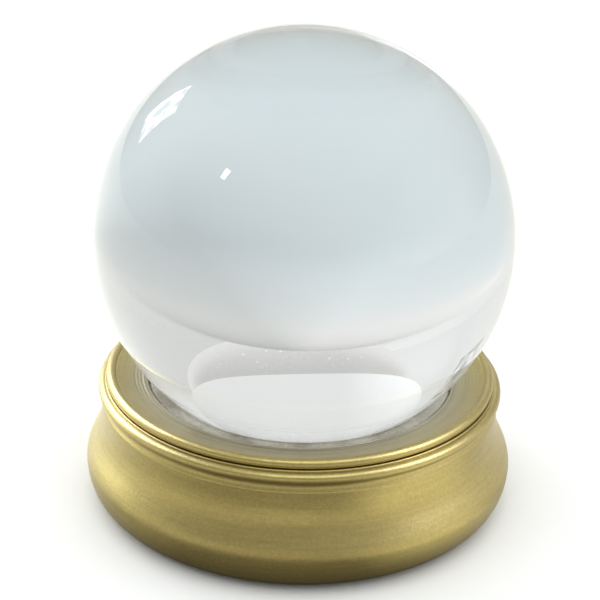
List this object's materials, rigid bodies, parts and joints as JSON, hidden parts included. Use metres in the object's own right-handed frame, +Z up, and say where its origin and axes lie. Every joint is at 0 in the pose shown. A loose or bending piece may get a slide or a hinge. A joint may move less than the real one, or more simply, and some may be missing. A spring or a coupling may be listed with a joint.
{
  "type": "crystal ball",
  "caption": "Clear solid ball resting on a soft clear ring in a round gold-finished stand with a dished top, beaded rim and bulging side; the ball lifts out.",
  "frame": {"origin": "centre of the felt pad's lower face, where the stand meets the table", "axes": "+Z up, the common axis of the stand and the ball; the part looks the same from every side"},
  "size_m": [0.1046, 0.1046, 0.1168],
  "materials": {
    "clear_glass": "clear, polished",
    "clear_silicone": "translucent, slightly glossy",
    "satin_gold_top": "turned, satin, with fine rings",
    "satin_gold": "brushed, satin",
    "hardboard": "pressed fibre, matt",
    "zinc_steel": "zinc plated",
    "felt": "dark wool felt"
  },
  "bodies": {
    "stand": {"seat_ring": "clear_silicone", "seat_collar": "satin_gold_top", "stand_shell": "satin_gold", "base_board": "hardboard", "base_screw_1": "zinc_steel", "base_screw_2": "zinc_steel", "base_screw_3": "zinc_steel", "felt_pad": "felt"},
    "ball": {"ball": "clear_glass"}
  },
  "joints": [
    {"name": "ball_lift", "type": "slide", "parent": "stand", "child": "ball", "axis": [0, 0, 1], "range_m": [0, 0.03]}
  ]
}
